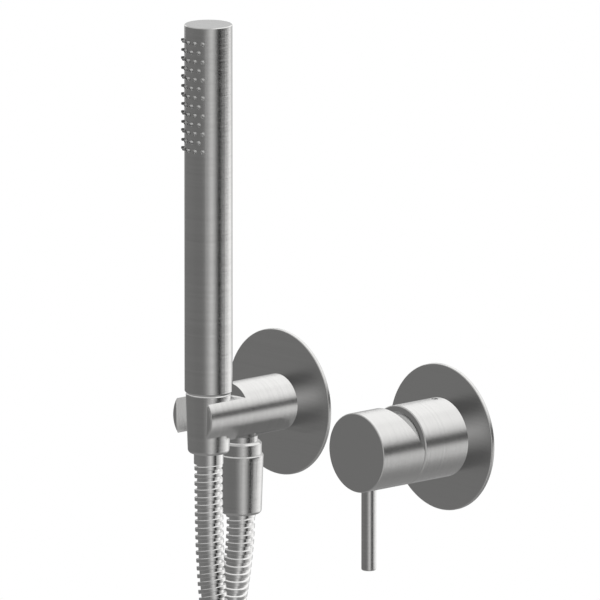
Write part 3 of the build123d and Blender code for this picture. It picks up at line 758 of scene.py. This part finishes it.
    def build(self) -> None:
        """Make the field in place of the plain strip."""
        low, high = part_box("shower_tube")
        axis = ((low[0] + high[0]) / 2, (low[1] + high[1]) / 2)
        radius = (high[0] - low[0]) / 2
        first = high[2] - self.first_drop
        last = first - (self.rows - 1) * self.row_pitch
        model = self.nozzle()
        margin = self.strip_margin
        strip = self.strip(axis, radius - self.tube_wall, last - margin, first + margin)
        piece = self.field_tree().run(strip, "nozzle_field", {
            "Nozzle": model,
            "Axis": (*axis, 0.0),
            "Radius": radius,
            "First Height": first,
            "Row Pitch": self.row_pitch,
            "Step": self.step,
            "Facing": self.facing,
        })
        bpy.data.objects.remove(model)
        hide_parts("nozzle_strip")
        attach(piece, "fixed")
        LOG.info("nozzle_field: %d faces", len(piece.data.polygons))


@dataclass
class Mixer:
    """Knob, lever, sleeve and wall plate, with the cartridge inside."""

    edge: float = 0.25 * MM
    lip_edge: float = 0.08 * MM

    def build(self) -> None:
        """Dress the mixer's pieces."""
        soften("mixer_wall_plate", self.edge, STEEL_FACE, "fixed")
        soften("mixer_sleeve", self.lip_edge, STEEL_Y, "fixed")
        soften("knob", self.edge, STEEL_Y, "lever")
        soften("pin_lever", self.edge, STEEL_Z, "lever")
        paint(SCREW_STEEL, "sleeve_grub_screw", "knob_grub_screw", "pivot_pin", "stem")
        paint(BRASS, "valve_body")
        paint(GREY_PLASTIC, "dome_nut")
        paint(BLACK_RUBBER, "mixer_plate_seal", "port_seals")
        paint(WHITE_PLASTIC, "cartridge_shell", "cartridge_base", "turret", "disc_carrier")
        paint(CERAMIC, "fixed_disc", "moving_disc")


@dataclass
class WallOutlet:
    """Wall plate, arm with the fork, outlet nipple and check valve."""

    edge: float = 0.25 * MM
    lip_edge: float = 0.12 * MM

    def build(self) -> None:
        """Dress the outlet's pieces."""
        soften("holder_wall_plate", self.edge, STEEL_FACE, "fixed")
        soften("holder_arm", self.edge, STEEL_Y, "fixed")
        soften("outlet_nipple", self.lip_edge, STEEL_Z, "fixed")
        paint(BRASS, "wall_nipple")
        paint(BLACK_RUBBER, "holder_plate_seal")
        paint(WHITE_PLASTIC, "check_valve_body", "check_valve_poppet")
        paint(SCREW_STEEL, "check_valve_spring")


@dataclass
class HandShower:
    """Stick hand shower with its nozzle field and hose nuts."""

    edge: float = 0.12 * MM
    nozzles: NozzleField = field(default_factory=NozzleField)

    def build(self) -> None:
        """Dress the hand shower and both hose ends."""
        paint(STEEL_Z, "shower_tube")
        # The flat top gets the darker steel: painted shade.
        paint_end("shower_tube", STEEL_END_SHADED)
        self.nozzles.build()
        soften("upper_hose_nut", self.edge, STEEL_Z, "fixed")
        soften("lower_hose_nut", self.edge, STEEL_Z, "fixed")
        paint(HOSE_STEEL, "upper_ferrule", "lower_ferrule")
        paint(BRASS, "shower_end_fitting")
        paint(BLACK_RUBBER, "upper_hose_gasket", "lower_hose_gasket")


def mirror_glow(
    name: str,
    verts: list[Point3],
    faces: list[tuple[int, ...]],
    greys: list[float],
    one_sided: bool = False,
) -> None:
    """Make a stage object that only reflections see, with its brightness on its corners.

    Args:
        name: Name of the object.
        verts: Its corners.
        faces: Its faces, as places in the list of corners.
        greys: The emitted grey at each corner.
        one_sided: Whether its back is clear.
    """
    mesh = bpy.data.meshes.new(name)
    mesh.from_pydata(verts, [], faces)
    shade = mesh.attributes.new("brightness", "FLOAT", "POINT")
    shade.data.foreach_set("value", greys)
    material = bpy.data.materials.new(name)
    material.use_nodes = True
    nodes, links = material.node_tree.nodes, material.node_tree.links
    nodes.clear()
    out = nodes.new("ShaderNodeOutputMaterial")
    glow = nodes.new("ShaderNodeEmission")
    read = nodes.new("ShaderNodeAttribute")
    read.attribute_name = "brightness"
    links.new(read.outputs["Fac"], glow.inputs["Strength"])
    if one_sided:
        side = nodes.new("ShaderNodeNewGeometry")
        clear = nodes.new("ShaderNodeBsdfTransparent")
        mix = nodes.new("ShaderNodeMixShader")
        links.new(side.outputs["Backfacing"], mix.inputs["Fac"])
        links.new(glow.outputs[0], mix.inputs[1])
        links.new(clear.outputs[0], mix.inputs[2])
        links.new(mix.outputs[0], out.inputs["Surface"])
    else:
        links.new(glow.outputs[0], out.inputs["Surface"])
    mesh.materials.append(material)
    stage = link(name, mesh)
    stage.visible_camera = False
    stage.visible_shadow = False
    stage.visible_diffuse = False
    stage.visible_transmission = False


@dataclass(frozen=True)
class Card:
    """Small shaded card that only reflections see, and only from its front; its greys are a painted
    reflection of a nearby piece.

    It starts at its corner low. Each shade is a share of the way across and the grey there.
    """

    name: str
    low: Point3
    along: Point3
    across: Point3
    shades: tuple[Point2, ...]

    def build(self) -> None:
        """Make the card as a stage object."""
        low, along, across = (Vector(side) for side in (self.low, self.along, self.across))
        verts: list[Point3] = []
        greys: list[float] = []
        for share, grey in self.shades:
            edge = low + across * share
            verts += [tuple(edge), tuple(edge + along)]
            greys += [grey, grey]
        faces = [(k, k + 1, k + 3, k + 2) for k in range(0, len(verts) - 2, 2)]
        mirror_glow(self.name, verts, faces, greys, one_sided=True)


# Even dark grey under the arm: a painted reflection of the wall plate in the arm's underside.
PLATE_REFLECTION_GREYS = ((0.0, 0.187), (1.0, 0.187))
# Dark, light and dark greys across a card: a painted reflection of the round arm and sleeve in the wall
# plates.
ROUND_REFLECTION_GREYS = ((0.0, 0.12), (0.18, 0.10), (0.5, 0.43), (0.78, 0.095), (0.92, 0.10), (1.0, 0.19))
# Cards whose greys are painted reflections: of the wall plate under the arm, and of the arm and sleeve in the
# wall plates.
CARDS = (
    Card(
        "dark_card",
        low=(-0.160, -0.037, -0.0135), along=(0.060, 0.0, 0.0), across=(0.0, 0.037, 0.0), shades=PLATE_REFLECTION_GREYS,
    ),
    Card(
        "arm_card",
        low=(-0.1163, -0.032, -0.0130), along=(0.0, 0.030, 0.0), across=(-0.0074, 0.0, 0.0260),
        shades=ROUND_REFLECTION_GREYS,
    ),
    Card(
        "sleeve_card",
        low=(0.01155, -0.029, -0.01565), along=(-0.0066, 0.027, -0.0019), across=(-0.0099, 0.0, 0.0351),
        shades=ROUND_REFLECTION_GREYS,
    ),
)


@dataclass(frozen=True)
class Tent:
    """Round light tent that only reflections see: how bright its wall is in each direction.

    Azimuth is counted from straight out of the wall towards +X, elevation from level, both in degrees.
    """

    radius: float = 1.0
    step: float = 3.0
    level_wall: tuple[Point2, ...] = (
        (-180.0, 1.25), (-150.0, 0.62), (-128.0, 0.27), (-90.0, 0.205), (-46.0, 0.207), (-20.0, 0.19),
        (12.0, 0.19), (28.0, 0.29), (42.0, 0.50), (56.0, 0.73), (70.0, 0.52), (85.0, 0.19),
        (96.0, 0.0), (103.0, 0.0), (116.0, 0.42), (135.0, 0.64), (156.0, 1.02), (180.0, 1.25),
    )
    back_rise: tuple[Point2, ...] = (
        (-90.0, 0.26), (-46.0, 0.27), (-37.0, 0.37), (-25.0, 0.60), (-18.0, 0.74), (-11.0, 0.70), (1.0, 0.14),
        (6.0, 0.08), (10.0, 0.14), (20.0, 0.72), (29.0, 0.97), (40.0, 1.14), (90.0, 1.22),
    )
    open_rise: tuple[Point2, ...] = (
        (-90.0, 0.26), (-46.0, 0.27), (-25.0, 0.60), (-12.0, 0.68), (5.0, 0.80), (20.0, 1.0), (90.0, 1.22),
    )
    left_rise: tuple[Point2, ...] = (
        (-90.0, 0.29), (-6.0, 0.29), (12.0, 0.67), (26.0, 1.20), (90.0, 1.22),
    )
    near_level: tuple[Point2, ...] = (
        (-90.0, 0.0), (-38.0, 0.0), (-20.0, 1.0), (-5.0, 1.0), (6.0, 0.0), (90.0, 0.0),
    )
    low_down: tuple[Point2, ...] = ((-90.0, 1.0), (-45.0, 1.0), (-22.0, 0.0), (90.0, 0.0))
    far_back: tuple[Point2, ...] = ((100.0, 0.0), (150.0, 0.0), (180.0, 1.0))
    front_rise: tuple[Point2, ...] = ((-90.0, 0.0), (14.0, 0.0), (40.0, 1.0), (90.0, 1.0))
    top_level: float = 0.60
    right_edge: float = 106.0
    left_edge: float = -90.0
    back_level: float = 0.68
    low_level: float = 0.29

    @staticmethod
    def between(knots: tuple[Point2, ...], place: float) -> float:
        """Value of a line of knots at one place."""
        for (x0, y0), (x1, y1) in zip(knots, knots[1:]):
            if place <= x1:
                share = (place - x0) / (x1 - x0)
                share = share * share * (3 - 2 * share)
                return y0 + (y1 - y0) * share
        return knots[-1][1]

    def brightness(self, azimuth: float, elevation: float) -> float:
        """Brightness of the wall in one direction.

        Args:
            azimuth: Direction round the object, from -180 to 180.
            elevation: Direction up or down, from -90 to 90.

        Returns:
            The emitted grey.
        """
        level = self.between(self.level_wall, azimuth)
        near = self.between(self.near_level, elevation)
        if azimuth > self.right_edge:
            banded = self.between(self.back_rise, elevation)
            plain = self.between(self.open_rise, elevation)
            rise = banded + (plain - banded) * self.between(self.far_back, azimuth)
            return max(0.0, rise + (level - self.back_level) * near)
        if azimuth < self.left_edge:
            return self.between(self.left_rise, elevation) + (level - self.low_level) * near
        low = max(0.0, self.low_level - level) * self.between(self.low_down, elevation)
        return level + low + (self.top_level - level) * self.between(self.front_rise, elevation)

    def build(self) -> None:
        """Make the tent as a stage object with its brightness on its corners."""
        columns = int(360 / self.step)
        rows = int(180 / self.step)
        verts: list[Point3] = []
        greys: list[float] = []
        for row in range(rows + 1):
            elevation = -90.0 + row * self.step
            for column in range(columns + 1):
                azimuth = -180.0 + column * self.step
                turn, rise = math.radians(azimuth), math.radians(elevation)
                flat = self.radius * math.cos(rise)
                verts.append((flat * math.sin(turn), -flat * math.cos(turn), self.radius * math.sin(rise)))
                greys.append(self.brightness(azimuth, elevation))
        faces = []
        for row in range(rows):
            for column in range(columns):
                corner = row * (columns + 1) + column
                faces.append((corner, corner + columns + 1, corner + columns + 2, corner + 1))
        mirror_glow("light_tent", verts, faces, greys)


@dataclass
class Studio:
    """White floor and surround, the lamp, the cards of painted reflection, the light tent and the camera."""

    photo_side: int = 600
    pixels_per_metre: float = 1968.5
    lens: float = 1600.0
    sensor: float = 36.0
    far_clip: float = 100.0
    azimuth: float = math.radians(46.81)
    elevation: float = math.radians(11.51)
    anchor: Point3 = (-0.120, -0.002, 0.0)
    anchor_pixel: Point2 = (278.0, 401.65)
    floor_z: float = -1.1
    floor_side: float = 30.0
    floor_grey: float = 0.85
    lamp_power: float = 3.6
    lamp_spread: float = math.radians(25.0)
    lamp_from: Point3 = (0.75, -0.08, 0.65)
    shade_light: float = 0.10
    tent: Tent = field(default_factory=Tent)

    def camera(self) -> None:
        """Long-lens camera at the photograph's angle."""
        right = Vector((math.cos(self.azimuth), math.sin(self.azimuth), 0.0))
        level = math.cos(self.elevation)
        back = Vector((level * right.y, -level * right.x, math.sin(self.elevation)))
        up = back.cross(right)
        half = self.photo_side / 2
        target = Vector(self.anchor)
        target += right * ((half - self.anchor_pixel[0]) / self.pixels_per_metre)
        target += up * ((self.anchor_pixel[1] - half) / self.pixels_per_metre)
        distance = self.photo_side / self.pixels_per_metre * self.lens / self.sensor
        data = bpy.data.cameras.new("photo_camera")
        data.lens = self.lens
        data.sensor_width = self.sensor
        data.clip_end = self.far_clip
        eye = bpy.data.objects.new("photo_camera", data)
        bpy.context.scene.collection.objects.link(eye)
        turn = Matrix((right, up, back)).transposed().to_4x4()
        eye.matrix_world = Matrix.Translation(target + back * distance) @ turn
        bpy.context.scene.camera = eye

    @staticmethod
    def _seen(tree: bpy.types.NodeTree) -> bpy.types.NodeSocket:
        """Socket that is 1 for rays of the camera, mirrors and glass, and 0 for rays that light things."""
        path = tree.nodes.new("ShaderNodeLightPath")
        seen = tree.nodes.new("ShaderNodeMath")
        seen.operation = "MAXIMUM"
        tree.links.new(path.outputs["Is Camera Ray"], seen.inputs[0])
        tree.links.new(path.outputs["Is Glossy Ray"], seen.inputs[1])
        shown = tree.nodes.new("ShaderNodeMath")
        shown.operation = "MAXIMUM"
        tree.links.new(seen.outputs[0], shown.inputs[0])
        tree.links.new(path.outputs["Is Transmission Ray"], shown.inputs[1])
        return shown.outputs[0]

    def world(self) -> None:
        """White surround that is seen as white and gives little light of its own."""
        world = bpy.data.worlds.new("studio_white")
        bpy.context.scene.world = world
        world.use_nodes = True
        tree = world.node_tree
        back = tree.nodes["Background"]
        back.inputs["Color"].default_value = (1.0, 1.0, 1.0, 1.0)
        strength = tree.nodes.new("ShaderNodeMapRange")
        strength.inputs["To Min"].default_value = self.shade_light
        strength.inputs["To Max"].default_value = 1.0
        tree.links.new(self._seen(tree), strength.inputs["Value"])
        tree.links.new(strength.outputs["Result"], back.inputs["Strength"])

    def floor(self) -> None:
        """Pale floor that is seen as white."""
        mesh = bpy.data.meshes.new("floor")
        half = self.floor_side / 2
        corners = [(x * half, y * half, self.floor_z) for x, y in ((-1, -1), (1, -1), (1, 1), (-1, 1))]
        mesh.from_pydata(corners, [], [(0, 1, 2, 3)])
        material = bpy.data.materials.new("pale_floor")
        material.use_nodes = True
        tree = material.node_tree
        tree.nodes.clear()
        out = tree.nodes.new("ShaderNodeOutputMaterial")
        diffuse = tree.nodes.new("ShaderNodeBsdfDiffuse")
        diffuse.inputs["Color"].default_value = (self.floor_grey, self.floor_grey, self.floor_grey, 1.0)
        white = tree.nodes.new("ShaderNodeEmission")
        mix = tree.nodes.new("ShaderNodeMixShader")
        tree.links.new(self._seen(tree), mix.inputs["Fac"])
        tree.links.new(diffuse.outputs[0], mix.inputs[1])
        tree.links.new(white.outputs[0], mix.inputs[2])
        tree.links.new(mix.outputs[0], out.inputs["Surface"])
        mesh.materials.append(material)
        floor = link("floor", mesh)
        floor.visible_diffuse = False

    def lamp(self) -> None:
        """Soft lamp above the right of the camera, for the pieces that are not steel."""
        data = bpy.data.lights.new("soft_lamp", "SUN")
        data.energy = self.lamp_power
        data.angle = self.lamp_spread
        lamp = bpy.data.objects.new("soft_lamp", data)
        bpy.context.scene.collection.objects.link(lamp)
        lamp.rotation_euler = Vector(self.lamp_from).to_track_quat("Z", "Y").to_euler()
        lamp.visible_glossy = False

    def build(self) -> None:
        """Set the view, the surround, the lights and the camera."""
        bpy.context.scene.view_settings.view_transform = "Standard"
        self.world()
        self.floor()
        self.lamp()
        for card in CARDS:
            card.build()
        self.tent.build()
        self.camera()


def main() -> None:
    """Build the sub-assemblies, the stage and the camera."""
    logging.basicConfig(level=logging.INFO, format="%(name)s: %(message)s")
    for assembly in (Studio(), Mixer(), WallOutlet(), HandShower(), Hose()):
        assembly.build()
        LOG.info("built %s", type(assembly).__name__)
    hide_from_mirrors()


if __name__ == "__main__":
    main()
